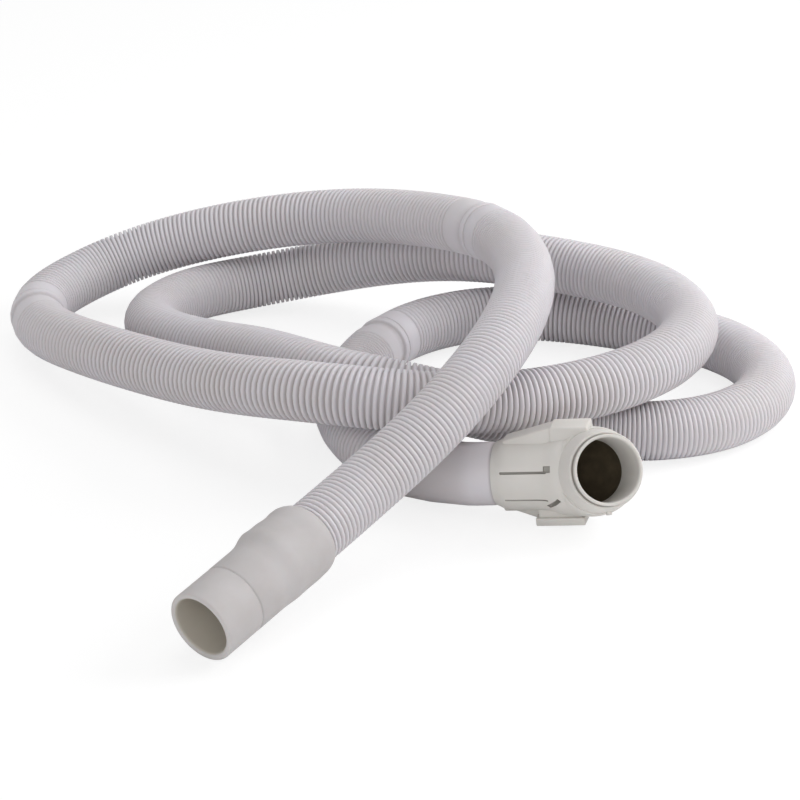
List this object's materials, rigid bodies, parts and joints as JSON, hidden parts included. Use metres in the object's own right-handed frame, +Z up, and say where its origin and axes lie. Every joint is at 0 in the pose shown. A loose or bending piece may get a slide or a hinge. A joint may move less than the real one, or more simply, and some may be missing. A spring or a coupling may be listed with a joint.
{
  "type": "dishwasher drain hose",
  "caption": "Long corrugated plastic drain hose, loosely wound, with a plain stepped outlet cuff at one end and a grey elbow with slits, two lugs and a round spigot at the other.",
  "frame": {"origin": "on the floor, under the middle of the loosely wound hose", "axes": "+Z up from the floor that the hose lies on, -Y towards the outlet cuff's mouth, +X towards the inlet elbow's side"},
  "size_m": [0.3423, 0.3665, 0.0822],
  "materials": {
    "hose_plastic": "satin light grey with a faint lilac tint",
    "cuff_rubber": "matte light grey",
    "elbow_plastic": "satin warm grey"
  },
  "bodies": {
    "root": {"corrugated_hose": "hose_plastic", "outlet_cuff": "cuff_rubber", "inlet_elbow": "elbow_plastic"}
  },
  "joints": []
}
